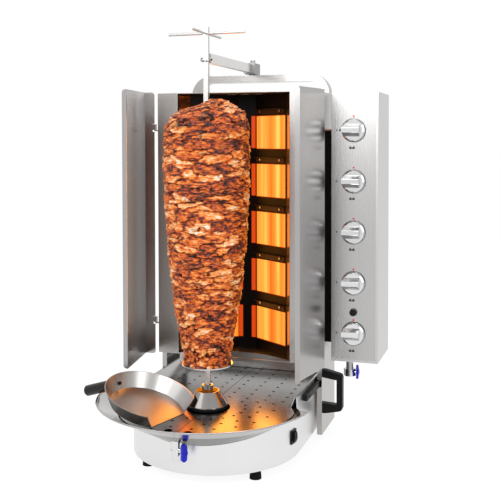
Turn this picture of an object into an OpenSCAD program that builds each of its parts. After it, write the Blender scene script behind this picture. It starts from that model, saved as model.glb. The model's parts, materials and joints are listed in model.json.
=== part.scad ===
// Gas doner kebab grill: a round drip tray on a motor drum, a vertical spit,
// and a burner tower that slides towards the meat and away from it.
// Origin: on the floor, straight below the spit axis. +Y runs back to the burners, +X to the controls.

/* [Drum and tray] */
// Outer radius of the round drum front, half the drum's width
drum_r = 220; // [212:1:224]
// Distance of the drum's centre behind the spit axis
drum_cy = 75; // [65:1:85]
// Back face of the drum, measured from the spit axis
drum_back = 396; // [380:1:405]
// Height of the feet under the drum
foot_h = 28; // [20:1:35]
// Height of the tray's rim above the floor
rim_z = 175; // [170:1:182]
// Radius of the flared rim about the spit axis
rim_r = 279; // [272:1:286]
// Height of the perforated plates' top above the floor
plate_z = 148; // [145:1:151]
// Radius of the round rim bead
bead_r = 2.2; // [1.8:0.1:3]
// Thickness of the sheet steel
sheet = 1.5; // [1.2:0.1:2]
// Diameter of a foot
foot_d = 30; // [24:1:36]
// Half distance between the front feet
foot_x = 144; // [130:1:150]

/* [Strainer plates] */
// Diameter of a drain hole
hole_d = 8.5; // [6:0.5:10]
// Hole spacing across the plates
hole_dx = 49.3; // [46:0.1:52]
// Hole spacing from front to back
hole_dy = 40; // [36:1:44]
// Spacing between the rings of holes round the spit
ring_step = 36.5; // [32:0.5:38]
// Diameter of a finger hole
finger_d = 20; // [17:1:22]

/* [Drive and spit] */
// Radius of the drip cone at its foot
cone_r = 52; // [50:0.5:55]
// Radius of the drip cone at its open top
cone_top_r = 30; // [26:0.5:34]
// Height of the drip cone's top above the floor
cone_top_z = 192; // [188:1:196]
// Diameter of the spit's round lower shaft
shaft_d = 15.4; // [14:0.2:17]
// Side of the square spit bar
bar_side = 12.2; // [11:0.2:12.6]
// Height of the spit's top above the floor
spit_top = 1116; // [1105:1:1125]
// Height of the spit disc's top face
disc_z = 262; // [255:1:270]
// Radius of the spit disc
disc_r = 65; // [60:1:72]
// Length of a cross rod
rod_len = 205; // [180:1:220]
// Largest radius of the meat
meat_r = 111; // [100:1:116]
// Gap between the meat's top and the spit arm
meat_gap = 92; // [75:1:130]

/* [Burner tower] */
// Front face of the tower, behind the spit axis
tower_y = 198; // [192:1:204]
// Back face of the tower's casing
tower_back = 413; // [410:1:420]
// Underside of the tower
tower_z0 = 226; // [222:1:230]
// Top of the tower
tower_z1 = 962; // [955:1:970]
// Half width of the front opening
open_w = 163; // [158:1:168]
// Half width over the front flanges
flange_w = 224; // [221:1:226]
// Height of a burner plaque
plaque_h = 92; // [90:0.5:93]
// Width of a burner plaque
plaque_w = 132; // [130:0.5:134]
// Distance from one row of burners to the next
row_step = 137.3; // [134:0.1:139]
// Angle of the burners from the straight across
burner_a = 35; // [34:0.5:36]
// Thickness of the tower's side plates
side_t = 1.5; // [1.2:0.1:2]
// Outer face of the side plates, from the middle
side_x = 239; // [238:0.5:241]

/* [Control box] */
// Width of the control box
box_w = 127; // [120:1:130]
// Depth of the control box
box_d = 177; // [165:1:185]
// Height of the control box
box_h = 729; // [720:1:735]
// Front face of the control box, behind the spit axis
box_y = 243; // [238:1:248]
// Gap between the tower's side plate and the control box
box_gap = 29; // [26:1:34]
// Diameter of a gas knob
knob_d = 63.5; // [58:0.5:68]
// Travel of a gas knob when it is pushed in
knob_push = 4; // [3:0.5:5]
// Diameter of the igniter button
button_d = 24; // [20:1:28]

/* [Arch and arm] */
// Width of the arch tube, seen from the front
arch_w = 20; // [18:0.5:22]
// Depth of the arch tube
arch_d = 40; // [36:1:44]
// Height of the arch above the tower's top, the outer radius of its bends
arch_rise = 57; // [52:1:62]
// Front face of the arch, behind the spit axis
arch_y = 360; // [355:1:365]
// Width of the spit arm
arm_w = 16; // [15:0.5:18]
// Height of the spit arm
arm_h = 24; // [22:0.5:26]

/* [Wings] */
// Depth of a wing, from its hinge to its front edge
wing_d = 174; // [165:1:180]
// Angle of a wing inwards
wing_a = 9; // [7:0.5:10]

/* [Catch pan] */
// Radius of the pan's flat bottom
pan_r = 93.4; // [92:0.2:95]
// Height of the pan's wall
pan_h = 35.3; // [34:0.1:38]
// Flare of the pan's wall from upright
pan_flare = 30; // [28:0.5:32]
// Tilt of the pan, its handle lying on the tray's rim
pan_tilt = 17.9; // [17.5:0.1:18.5]
// Diameter of the pan's handle
handle_d = 28; // [24:1:28]

/* [Hidden] */
$fn = 96;
big = 2000;
eps = 0.01;
gap = 0.3;
run_gap = 0.08;

// Tray: one straight cone from the rim down to the basin
cone_slope = 0.55;
function tray_r(z) = rim_r - (rim_z - z) / cone_slope;
basin_r = rim_r - 134;
basin_z = rim_z - (rim_r - basin_r) * cone_slope;
channel_w = 187;
plate_in = 198;
ledge_w = plate_in + 3;
plate_t = sheet;
plate_gap = 1.5;
ledge_z = plate_z - plate_t;
cheek_x = drum_r - 5;
trim_y = 62;
trim_slope = 1.8;
reach = 200;
boss_r = 30;
boss_z = ledge_z + 12;
ring_r = 64;
plate_hole_r = cone_r + 6;

// Drive
axis_r = 10;
collar_r = 14.5;
collar_z = 206;
socket_z = 166;
seal_z0 = plate_z + 0.8;
seal_z1 = 157;
cone_z0 = seal_z1;
motor_w = 110;
motor_h = 50;
box_gear_r = 46;

// Spit
pin_r = shaft_d / 2;
bore_r = pin_r + run_gap;
disc_t = 3;
rod_r = 3.9;
rod_r2 = 3.5;
rod_z = spit_top - 16;

// Tower
wall = sheet;
step_y = 256;
case_w = side_x - side_t - 0.5;
strip_w = 17;
first_row = 257;
plaque_t = 13;
body_d = 30;
lip = 5;
v_x = 27;
v_y = 326;
rows = 5;
plate_bottom = 16;
rail_z = 150;
rail_h = 16;
rail_w = 13;
rail_y0 = 118;
rail_gap = 0.5;

// Control box
box_x = side_x + box_gap;
box_z = 229;
panel_inset = 7;
panel_t = 1.2;
knob_x = box_x + 61;
knob_z0 = 307;
button_z = 365;
knob_t = 6;
grip_t = 15;
grip_base = 17;
grip_land = 7;
stem_r = 4;
knob_gap = knob_push + 1;
feed_y = box_y + 132;
feed_r = 5;
jet_s = plaque_w * 0.45;
jet_x = v_x + jet_s * cos(burner_a) + (feed_y - v_y + jet_s * sin(burner_a)) * tan(burner_a);
jet_len = (feed_y - v_y + jet_s * sin(burner_a)) / cos(burner_a) - body_d - 26;

// Arch and arm
arch_left = -184;
arch_right = 234.5;
arch_foot_z = 880;
arch_z = tower_z1 + arch_rise;
arch_bend = arch_rise;
arm_z = arch_z + 7;
meat_h = arm_z - meat_gap - disc_z;
arm_back = 404;
clamp_y0 = 351;
clamp_t = 7;
bush_bore = 10;
bush_r = 12.5;
bush_h = 3.5;
tube_t = 2;
arm_front = bar_side * sqrt(2) / 2 + 0.5;
tail_y = 30;
lock_r = 2.5;
ring_o = 4.2;
pin_y = 14;
pin_z = arm_z + 9;

// Wings
hinge_x = flange_w + 4;
hinge_y = tower_y - 8;
wing_z0 = 223;
wing_z1 = 965;
wing_back_x = 260;
fold_w = 13;
knuckle_r = 3.4;
hinge_r = 1.9;
hook_z = 98;
wing_turn = 2;

// Catch pan
pan_dir = -15.5;
pan_x = -117.8;
pan_y = -110.9;
pan_rim_r = pan_r + pan_h * tan(pan_flare);
pan_t = sheet * 0.7;
wall_mid = pan_r + pan_h * 0.4 * tan(pan_flare);
cut_x = 69.4;
pan_z = plate_z + gap + cut_x * sin(pan_tilt);
pan_grip_z = pan_h * 0.4;
pan_grip_a = 36.2;
handle_l = 108;

// Shared outlines
module d_outline(r, back) {
  translate([0, drum_cy]) circle(r);
  translate([-r, drum_cy]) square([2 * r, back - drum_cy]);
}

// Plan of the part of the tray that lies in front of the trimmed ends of the flare
module front_region(grow = 0) {
  x1 = drum_r + reach + grow;
  y1 = trim_y - reach * trim_slope + grow;
  x2 = drum_r + grow;
  y2 = trim_y + grow;
  polygon([[-x1, -2 * reach], [x1, -2 * reach], [x1, y1], [x2, y2], [-x2, y2], [-x1, y1]]);
}

// Solid cone of the tray's inside, lowered and widened by d for its outside
module tray_cone(d) {
  rotate_extrude() polygon([[0, basin_z - d], [basin_r + d * 0.6, basin_z - d],
    [tray_r(rim_z + 3) + d * 0.6, rim_z + 3 - d * 0.87], [tray_r(rim_z + 3) + d * 0.6, rim_z + 9],
    [0, rim_z + 9]]);
}

// Cross-section of the tray behind the flare: channel, ledge for the plates and sloping cheek
module channel_profile(d, top) {
  polygon([[-channel_w - d, basin_z - d], [channel_w + d, basin_z - d], [channel_w + d, ledge_z - d],
    [ledge_w + d, ledge_z - d], [cheek_x + d, top], [-cheek_x - d, top],
    [-ledge_w - d, ledge_z - d], [-channel_w - d, ledge_z - d]]);
}

module channel_solid(d, y0, y1, top) {
  translate([0, y1, 0]) rotate([90, 0, 0]) linear_extrude(y1 - y0) channel_profile(d, top);
}

module ring_at(z, h, r_out, r_in) {
  translate([0, 0, z]) difference() {
    cylinder(h = h, r = r_out);
    translate([0, 0, -1]) cylinder(h = h + 2, r = r_in);
  }
}

// Drum
switch_a = -10;
switch_z = 83;
module at_switch() {
  translate([0, drum_cy, switch_z]) rotate([0, 0, switch_a]) translate([drum_r, 0, 0]) children();
}

drain_a = -96;
drain_r = basin_r + 16;
module at_drain() rotate([0, 0, drain_a]) translate([drain_r, 0, 0]) rotate([0, 0, -drain_a]) children();

module base_shell() {
  color("gainsboro") difference() {
    translate([0, 0, foot_h]) linear_extrude(rim_z - 1 - foot_h) d_outline(drum_r, drum_back);
    translate([0, 0, foot_h - 1]) linear_extrude(rim_z + 2 - foot_h) d_outline(drum_r - sheet, drum_back - sheet);
    intersection() {
      tray_cone(sheet + gap);
      translate([0, 0, 20]) linear_extrude(rim_z) front_region(1);
    }
    at_switch() translate([-10, -11, -16]) cube([20, 22, 32]);
    translate([0, drum_back - 5, foot_h + 30]) rotate([-90, 0, 0]) cylinder(h = 10, r = 11);
    for (i = [-4:4]) translate([i * 24 + 110 * sign(i) - 4, drum_back - 5, foot_h + 35]) cube([8, 10, 45]);
  }
}

module base_floor() {
  color("silver") difference() {
    translate([0, 0, foot_h + gap]) linear_extrude(sheet) d_outline(drum_r - sheet - gap, drum_back - sheet - gap);
    for (a = [0:5]) for (s = [-1, 1])
      translate([s * 110, 120 + a * 36, foot_h - 1]) linear_extrude(6) square([70, 8], center = true);
    for (p = foot_places()) translate([p[0], p[1], foot_h - 1]) cylinder(h = 6, r = 3.2);
  }
}

function foot_places() = [[-foot_x, -48], [foot_x, -48], [-foot_x - 30, drum_back - 50], [foot_x + 30, drum_back - 50]];

module feet() {
  color("#1a1a1a") for (p = foot_places()) translate([p[0], p[1], 0]) difference() {
    union() {
      cylinder(h = foot_h + gap, r1 = foot_d / 2, r2 = foot_d / 2 - 2);
      translate([0, 0, foot_h]) cylinder(h = 5, r = 3);
    }
    translate([0, 0, -1]) cylinder(h = 9, r = 6);
  }
}

module tray_sheet() {
  difference() {
    union() {
      intersection() {
        tray_cone(sheet);
        linear_extrude(rim_z) front_region();
      }
      channel_solid(sheet, 40, drum_back - 4, rim_z);
    }
    intersection() {
      tray_cone(0);
      translate([0, 0, -1]) linear_extrude(big) front_region();
    }
    channel_solid(0, 40 + sheet, drum_back - 4 - sheet, rim_z + 1);
    at_drain() translate([0, 0, 60]) cylinder(h = 80, r = 10);
    translate([0, 0, 60]) cylinder(h = 80, r = boss_r - sheet);
  }
}

module drip_tray() {
  color("silver") {
    tray_sheet();
    intersection() {
      rotate_extrude() translate([rim_r, rim_z - bead_r * 0.4]) circle(bead_r, $fn = 32);
      linear_extrude(big) front_region();
    }
    ring_at(basin_z - sheet, boss_z - basin_z + sheet, boss_r, boss_r - sheet);
    difference() {
      ring_at(basin_z - 0.5, ledge_z - basin_z + 0.5, ring_r, ring_r - sheet);
      for (a = [0:5]) rotate([0, 0, 60 * a]) translate([0, -9, basin_z]) cube([ring_r + 5, 18, 16]);
    }
    translate([0, 0, rim_z - 0.95]) linear_extrude(sheet) difference() {
      intersection() {
        d_outline(drum_r, drum_back);
        translate([-big, trim_y]) square([2 * big, big]);
      }
      translate([-cheek_x, -1]) square([2 * cheek_x, drum_back - 4 - sheet + 1]);
    }
  }
}

// Perforated plates
module hole_pattern() {
  for (k = [0:3]) for (i = [0:19])
    let (a = 18 * i + 8 + 9 * (k % 2), r = 98 + ring_step * k, x = r * cos(a), y = r * sin(a))
      if (abs(x) > 9 && y < 82 && abs(x) < plate_in - 9 && r < tray_r(plate_z) - 12
          && min(norm([x - finger_x, y - finger_y]), norm([x + finger_x, y - finger_y])) > 18)
        translate([x, y]) circle(d = hole_d, $fn = 24);
  for (i = [-4:3]) for (j = [0:7])
    let (x = (i + 0.5) * hole_dx, y = 100 + hole_dy * j)
      if (norm([x, y]) > 96 && abs(x) < plate_in - 9) translate([x, y]) circle(d = hole_d, $fn = 24);
}

finger_x = 24.5;
finger_y = -194;

module plate_blank() {
  difference() {
    union() {
      intersection() {
        circle(tray_r(ledge_z) - 2);
        front_region(-3);
      }
      translate([-plate_in, 30]) square([2 * plate_in, drum_back - 10 - 30]);
    }
    circle(plate_hole_r);
    for (s = [-1, 1]) translate([s * finger_x, finger_y]) circle(d = finger_d);
    hole_pattern();
  }
}

module plate_half(side) {
  color("lightgray") translate([0, 0, ledge_z + 0.05]) linear_extrude(plate_t - 0.05) intersection() {
    plate_blank();
    translate([side > 0 ? plate_gap / 2 : -big, -big]) square([big - plate_gap / 2, 2 * big]);
  }
}

module plate_left() plate_half(-1);
module plate_right() plate_half(1);

module slide_rails() {
  color("#151515") for (s = [-1, 1]) difference() {
    translate([s > 0 ? drum_r + 0.05 : -drum_r - 0.05 - rail_w, rail_y0, rail_z])
      cube([rail_w, drum_back - 6 - rail_y0, rail_h]);
    for (y = [rail_y0 + 20, drum_back - 30]) translate([s * (drum_r + rail_w), y, rail_z + rail_h / 2])
      rotate([0, 90, 0]) cylinder(h = 8, r = 4.5, center = true);
  }
}

// Drain valve and its butterfly lever
valve_r = 14;
valve_z0 = 82;
valve_z1 = 118;
spout_h = 16;
stem_z = 97;
stem_a = -38;
stem_l = 30;
module drain_valve() {
  color("#c9ccd0") {
    difference() {
      at_drain() {
        translate([0, 0, valve_z0]) cylinder(h = valve_z1 - valve_z0, r = valve_r);
        translate([0, 0, valve_z0 - spout_h]) cylinder(h = spout_h + 1, r = 11);
        translate([0, 0, valve_z0 + 7]) cylinder(h = 3, r = valve_r + 0.8);
        translate([0, 0, stem_z - 4]) rotate([0, 90, stem_a]) cylinder(h = stem_l, r = 5.5);
      }
      tray_cone(sheet + gap);
      at_drain() translate([0, 0, valve_z0 - spout_h - 1]) cylinder(h = 90, r = 6.5);
    }
    at_drain() difference() {
      union() {
        translate([0, 0, valve_z0 + 10]) cylinder(h = 36, r = 9.6);
        translate([0, 0, valve_z1]) cylinder(h = 6, r = 13, $fn = 6);
      }
      translate([0, 0, valve_z0]) cylinder(h = 90, r = 6.5);
    }
  }
}

module butterfly(half, wide, thick) {
  difference() {
    union() {
      rotate([0, 90, 0]) cylinder(h = thick, r = 8);
      for (s = [-1, 1]) hull() {
        rotate([0, 90, 0]) cylinder(h = thick, r = 7, $fn = 32);
        translate([0, 0, s * (half - 6)]) rotate([0, 90, 0]) cylinder(h = thick * 0.7, r = wide / 2, $fn = 32);
      }
    }
    translate([thick + 4, 0, 0]) rotate([0, 90, 0]) cylinder(h = 10, r = 4, center = true);
  }
}

module drain_lever() {
  color("#1b3fc4") at_drain() rotate([0, 0, stem_a]) translate([stem_l + gap, 0, stem_z - 4]) butterfly(20, 15, 8);
}

// Rocker switch under a ribbed cover, on two small pins
rocker_x = 1;
rocker_r = 1.5;
module switch_bezel() {
  color("#111111") at_switch() difference() {
    union() {
      translate([0.4, -14, -17.5]) cube([2.6, 28, 35]);
      translate([-9, -10.5, -15.5]) cube([10, 21, 31]);
    }
    translate([-8, -8, -13]) cube([16, 16, 26]);
    translate([rocker_x, 0, 0]) rotate([90, 0, 0]) cylinder(h = 19, r = rocker_r + run_gap, center = true);
  }
}

module rocker_switch() {
  color("#222222") at_switch() {
    difference() {
      intersection() {
        translate([-4, -7.4, -11.6]) cube([13.5, 14.8, 23.2]);
        translate([-26, 0, 0]) rotate([90, 0, 0]) cylinder(h = 20, r = 35.4, center = true);
      }
      for (k = [-3:3]) translate([9.8, 0, k * 3.4]) cube([2.4, 20, 1.2], center = true);
    }
    translate([rocker_x, 0, 0]) rotate([90, 0, 0]) cylinder(h = 18.4, r = rocker_r, center = true);
  }
}

// Gear motor under the basin
module gear_motor() {
  color("#5c6066") {
    translate([0, 0, foot_h + 10]) cylinder(h = 34, r = box_gear_r);
    translate([-38, 20, foot_h + 11]) cube([76, 78, 32]);
    translate([0, 96, foot_h + 27]) rotate([-90, 0, 0]) cylinder(h = 62, r = 15);
    for (a = [0:3]) rotate([0, 0, 45 + 90 * a]) translate([box_gear_r - 4, 0, foot_h + 10]) cylinder(h = 30, r = 6);
  }
}

bracket_x = 68;
module motor_bracket() {
  color("#8a8f94") difference() {
    union() {
      for (s = [-1, 1]) translate([s * bracket_x - (s > 0 ? 0 : 3), -52, foot_h + 2]) cube([3, 104, 45.5]);
      translate([-bracket_x - 2.5, -52, foot_h + 44.3]) cube([2 * bracket_x + 5, 104, 3]);
      for (s = [-1, 1]) translate([s > 0 ? bracket_x : -bracket_x - 20, -52, foot_h + 1.9]) cube([20, 104, 3]);
    }
    translate([0, 0, foot_h]) cylinder(h = 60, r = 20);
    for (s = [-1, 1]) for (y = [-40, 40]) translate([s * (bracket_x + 11), y, foot_h]) cylinder(h = 10, r = 3.2);
  }
}

module shaft_bearing() {
  color("#9aa0a6") difference() {
    union() {
      translate([0, 0, foot_h + 47.6]) cylinder(h = basin_z - sheet - foot_h - 48, r = 24);
      translate([0, 0, foot_h + 47.6]) cylinder(h = 4, r = 34);
      translate([0, 0, basin_z - sheet - 1]) cylinder(h = boss_z - basin_z - 8, r = boss_r - sheet - 3);
    }
    cylinder(h = 400, r = axis_r + run_gap);
    for (a = [0:3]) rotate([0, 0, 45 + 90 * a]) translate([29, 0, foot_h + 40]) cylinder(h = 20, r = 2.6);
  }
}

// Rotating group
module drive_socket() {
  color("#b5b9be") difference() {
    union() {
      translate([0, 0, foot_h + 44 + gap]) cylinder(h = socket_z - 12 - foot_h - 44, r = axis_r);
      translate([0, 0, socket_z - 14]) cylinder(h = collar_z - socket_z + 14, r = collar_r);
    }
    translate([0, 0, socket_z]) cylinder(h = 100, r = bore_r);
    translate([0, 0, collar_z - 4]) cylinder(h = 5, r1 = bore_r, r2 = bore_r + 4);
  }
}

module drip_cone() {
  color("#c3c5c8") difference() {
    union() {
      translate([0, 0, cone_z0]) rotate_extrude() polygon([[cone_r - 2, 0], [cone_r, 0], [cone_r, 2],
        [cone_top_r, cone_top_z - cone_z0], [cone_top_r - 2, cone_top_z - cone_z0], [cone_r - 2.4, 1.6]]);
      translate([0, 0, cone_z0 + 12]) cylinder(h = 3, r = cone_r - 9);
    }
    translate([0, 0, cone_z0]) cylinder(h = 60, r = collar_r + 0.05);
  }
}

module seal_ring() {
  color("#0d0d0d") rotate_extrude() polygon([[cone_r - 9, seal_z0 + 3], [cone_r - 4, seal_z0], [cone_r - 1, seal_z0],
    [cone_r - 0.6, seal_z0 + 3], [cone_r - 1.4, cone_z0], [cone_r - 7, cone_z0]]);
}

module spit_bar() {
  color("#c8cacd") {
    translate([0, 0, socket_z + 0.5]) cylinder(h = disc_z + eps - socket_z - 0.5, r = pin_r);
    difference() {
      translate([-bar_side / 2, -bar_side / 2, disc_z]) cube([bar_side, bar_side, spit_top - disc_z]);
      for (k = [0, 1]) translate([0, 0, rod_z]) rotate([0, 90, 90 * k])
        cylinder(h = 60, r = (k == 0 ? rod_r : rod_r2) + 0.05, center = true);
    }
  }
}

module cross_rods() {
  color("#b9bcc0") for (k = [0, 1]) translate([0, 0, rod_z])
    rotate([0, 90, 90 * k]) cylinder(h = rod_len, r = k == 0 ? rod_r : rod_r2, center = true);
}

module spit_disc() {
  color("#b9bcc0") difference() {
    union() {
      translate([0, 0, disc_z - disc_t]) cylinder(h = disc_t, r = disc_r);
      translate([0, 0, disc_z - disc_t - 10]) cylinder(h = 10 + eps, r = 13);
    }
    translate([0, 0, disc_z - 30]) cylinder(h = 60, r = pin_r + 0.08);
  }
}

// Meat: stacked slices, widest near the shoulder, with a domed top
slices = 26;
function meat_edge(t) = meat_r * (t < 0.86 ? 0.55 + 0.45 * pow(sin(90 * min(1, (t + 0.03) / 0.84)), 0.9)
  : 1 - 0.62 * pow((t - 0.86) / 0.14, 2.2));
module meat_stack() {
  color("#a5562a") difference() {
    translate([0, 0, disc_z + 0.1]) rotate_extrude() polygon(concat([[0, 0]],
      [for (i = [0:slices * 4]) let (t = i / (slices * 4), w = 1.6 * abs(sin(45 * i)) - 1.6)
        [meat_edge(t) + w, t * meat_h]], [[0, meat_h]]));
    translate([-bar_side / 2, -bar_side / 2, disc_z - 10]) cube([bar_side, bar_side, big]);
  }
}

// Catch pan lying on the plates, its handle on the rim
module at_pan() translate([pan_x, pan_y, pan_z]) rotate([0, 0, pan_dir]) rotate([0, pan_tilt, 0]) children();

module scoop_pan() {
  color("#c6c8cb") at_pan() difference() {
    rotate_extrude() polygon([[0, 0], [pan_r, 0], [pan_rim_r, pan_h], [pan_rim_r + 0.6, pan_h], [pan_rim_r + 0.6, pan_h + 0.8],
      [pan_rim_r - pan_t * 1.1, pan_h + 0.8], [pan_r - pan_t * 0.6, pan_t], [0, pan_t]]);
    translate([cut_x, -big / 2, -20]) cube([big, big, 200]);
    translate([-wall_mid, 0, pan_grip_z]) rotate([0, -90 - pan_grip_a, 0]) cylinder(h = 20, r = 2.6, center = true);
  }
}

module scoop_handle() {
  color("#101010") at_pan() translate([-wall_mid, 0, pan_grip_z]) rotate([0, -90 - pan_grip_a, 0]) {
    translate([0, 0, 2.4]) cylinder(h = 4, r1 = handle_d / 2 + 1, r2 = handle_d / 2);
    translate([0, 0, 6]) cylinder(h = handle_l, r = handle_d / 2);
    translate([0, 0, 6 + handle_l]) cylinder(h = 4, r1 = handle_d / 2, r2 = handle_d / 2 - 3);
    translate([0, 0, -2.5]) cylinder(h = 6, r = 2.4);
    translate([0, 0, -5]) cylinder(h = 2.6, r = 4.5);
  }
}

// Tower casing: stepped outline, open at the front
module case_outline(d) {
  polygon([[-flange_w + d, tower_y + d], [flange_w - d, tower_y + d], [flange_w - d, step_y + d],
    [case_w - d, step_y + d], [case_w - d, tower_back - d], [-case_w + d, tower_back - d],
    [-case_w + d, step_y + d], [-flange_w + d, step_y + d]]);
}

module casing_lip() {
  lip_r = rim_r - 16;
  intersection() {
    ring_at(tower_z0 - 26, 26 + wall, lip_r + wall, lip_r);
    translate([-open_w, tower_y - 20, 0]) cube([2 * open_w, 200, big]);
  }
}

// Lugs and upright pins that the wings hang on
module wing_lugs() {
  for (s = [-1, 1]) for (z = [wing_z0 + hook_z, wing_z1 - hook_z]) translate([s * hinge_x, hinge_y + sheet / 2, z - 8]) {
    translate([0, 0, -gap - 3]) cylinder(h = 3, r = knuckle_r);
    translate([s > 0 ? -10 : 2, 0, -gap - 3]) cube([8, tower_y - hinge_y, 3]);
    translate([-2, 0, -gap - 3]) cube([4, tower_y - hinge_y - 1, 3]);
    translate([0, 0, -1]) cylinder(h = 15, r = hinge_r);
  }
}

module tower_casing() {
  color("#cfd1d3") difference() {
    union() {
      difference() {
        translate([0, 0, tower_z0]) linear_extrude(tower_z1 - tower_z0) case_outline(0);
        translate([0, 0, tower_z0 + wall]) linear_extrude(tower_z1 - tower_z0 - 2 * wall) case_outline(wall);
        translate([-case_w + 12, tower_back - 10, tower_z0 + 12]) cube([2 * case_w - 24, 20, tower_z1 - tower_z0 - 24]);
        translate([-open_w, tower_y - 10, tower_z0 + wall]) cube([2 * open_w, 20, tower_z1 - tower_z0 - 2 * wall]);
      }
      casing_lip();
      wing_lugs();
    }
    difference() {
      translate([0, 0, tower_z0 - 1]) cylinder(h = 3, r = rim_r - 16);
      translate([-big, tower_y + wall - big, 0]) cube([2 * big, big, big]);
    }
    for (x = [arch_left, arch_right - arch_w]) translate([x - gap, arch_y - gap, tower_z1 - 10])
      cube([arch_w + 2 * gap, arch_d + 2 * gap, 20]);
    for (i = [0:rows - 1]) translate([case_w - 5, feed_y, knob_z(i + 1)]) rotate([0, 90, 0]) cylinder(h = 10, r = feed_r + 1);
    for (i = [-3:3]) translate([i * 40 - 12, 300, tower_z1 - 10]) cube([24, 6, 20]);
  }
}

module back_cover() {
  color("#c4c6c8") difference() {
    translate([-case_w + 2, tower_back + gap, tower_z0 + 2]) cube([2 * case_w - 4, sheet, tower_z1 - tower_z0 - 4]);
    for (b = [0:4]) for (i = [-7:7]) translate([i * 24 - 3, tower_back - 2, tower_z0 + 50 + b * 140]) cube([6, 10, 60]);
    for (s = [-1, 1]) for (b = [0:4]) translate([s * (case_w - 7), tower_back - 5, tower_z0 + 20 + b * 170])
      rotate([-90, 0, 0]) cylinder(h = 10, r = 2.2);
  }
}

// The burners stand in a V: children are drawn for one side, x to the right, y back into the burner
module at_burner(side, row) {
  mirror([side < 0 ? 1 : 0, 0, 0]) translate([v_x, v_y, first_row + row * row_step])
    rotate([0, 0, -burner_a]) children();
}

module liner_path(d) {
  out = v_x + (plaque_w + 2 * lip) * cos(burner_a);
  deep = v_y - (plaque_w + 2 * lip) * sin(burner_a);
  polygon([[-open_w, tower_y + 2 + d], [-out, deep + d], [-v_x, v_y + 2 + d], [v_x, v_y + 2 + d], [out, deep + d],
    [open_w, tower_y + 2 + d], [open_w, tower_y + 2], [out - 1, deep], [v_x, v_y + 0.5],
    [-v_x, v_y + 0.5], [-out + 1, deep], [-open_w, tower_y + 2]]);
}

module burner_liner() {
  color("#26211f") difference() {
    translate([0, 0, tower_z0 + wall + gap]) linear_extrude(tower_z1 - tower_z0 - 2 * wall - 2 * gap) liner_path(1.5);
    for (s = [-1, 1]) for (i = [0:rows - 1]) at_burner(s, i)
      translate([-2, -12, -2]) cube([plaque_w + 4, 24, plaque_h + 4]);
  }
}

module burners() {
  color("#6f6a66") for (s = [-1, 1]) for (i = [0:rows - 1]) at_burner(s, i) {
    difference() {
      translate([-lip, 3, -lip]) cube([plaque_w + 2 * lip, body_d, plaque_h + 2 * lip]);
      translate([-gap, 2, -gap]) cube([plaque_w + 2 * gap, plaque_t + 1 + gap, plaque_h + 2 * gap]);
      translate([3, 10, 3]) cube([plaque_w - 6, body_d - 9, plaque_h - 6]);
      translate([plaque_w * 0.45, body_d - 2, plaque_h / 2]) rotate([-90, 0, 0]) cylinder(h = 20, r = 9);
    }
    translate([plaque_w * 0.45, body_d + 3 - eps, plaque_h / 2]) rotate([-90, 0, 0]) difference() {
      cylinder(h = 14, r = 11);
      translate([0, 0, -1]) cylinder(h = 20, r = 9);
    }
  }
}

// Hoods over the plaques, screwed to the liner
module burner_hoods() {
  color("#5e2418") for (s = [-1, 1]) for (i = [0:rows - 1]) at_burner(s, i) translate([2, -9.7, plaque_h + 6]) difference() {
    cube([plaque_w - 4, 9, hood_h]);
    translate([-1, -1, -1]) cube([plaque_w, 9, hood_h]);
    for (x = [20, plaque_w - 24]) translate([x, -5, hood_h / 2]) rotate([-90, 0, 0]) cylinder(h = 20, r = 2);
  }
}

hood_h = 14;
groove_n = 10;
module plaques() {
  color("#ff9a2e") for (s = [-1, 1]) for (i = [0:rows - 1]) at_burner(s, i) difference() {
    translate([0, 3, 0]) cube([plaque_w, plaque_t - 3, plaque_h]);
    for (k = [1:groove_n - 1]) translate([k * plaque_w / groove_n - 0.6, 2, 3]) cube([1.2, 2, plaque_h - 6]);
  }
}

// Side plates that carry the tower, their flanges notched for the rails
flange_d = 14;
module side_plate(side) {
  x0 = side > 0 ? side_x - side_t : -side_x;
  color("#d3d5d7") difference() {
    union() {
      translate([x0, step_y + 0.5, plate_bottom]) cube([side_t, tower_back + 2 - step_y, tower_z1 - plate_bottom]);
      for (y = [step_y + 0.5, tower_back + 1]) translate([side > 0 ? side_x - flange_d : -side_x, y, plate_bottom])
        cube([flange_d, side_t, tower_z0 - gap - plate_bottom]);
    }
    for (y = [step_y - 5, tower_back - 4]) translate([side > 0 ? side_x - flange_d - 5 : -side_x + side_t, y, rail_z - 2])
      cube([flange_d + 5 - side_t, 12, rail_h + 4]);
    translate([side * side_x, tower_back - 60, 60]) rotate([0, 90, 0]) cylinder(h = 10, r = 4, center = true);
    if (side > 0) for (i = [0:rows - 1]) translate([side_x - 5, feed_y, knob_z(i + 1)])
      rotate([0, 90, 0]) cylinder(h = 10, r = feed_r + 1);
  }
}

module side_plate_left() side_plate(-1);
module side_plate_right() side_plate(1);

// Runners on the side plates, over and under the rails
runner_h = 8;
runner_y = step_y + 0.5 + side_t + gap;
module tower_runners() {
  runner_w = side_x - side_t - gap - drum_r - 2.5;
  color("#1a1a1a") for (s = [-1, 1]) for (h = [rail_z + rail_h + rail_gap, rail_z - rail_gap - runner_h])
    translate([s > 0 ? drum_r + 2.5 : -drum_r - 2.5 - runner_w, runner_y, h]) cube([runner_w, 140, runner_h]);
}

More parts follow.
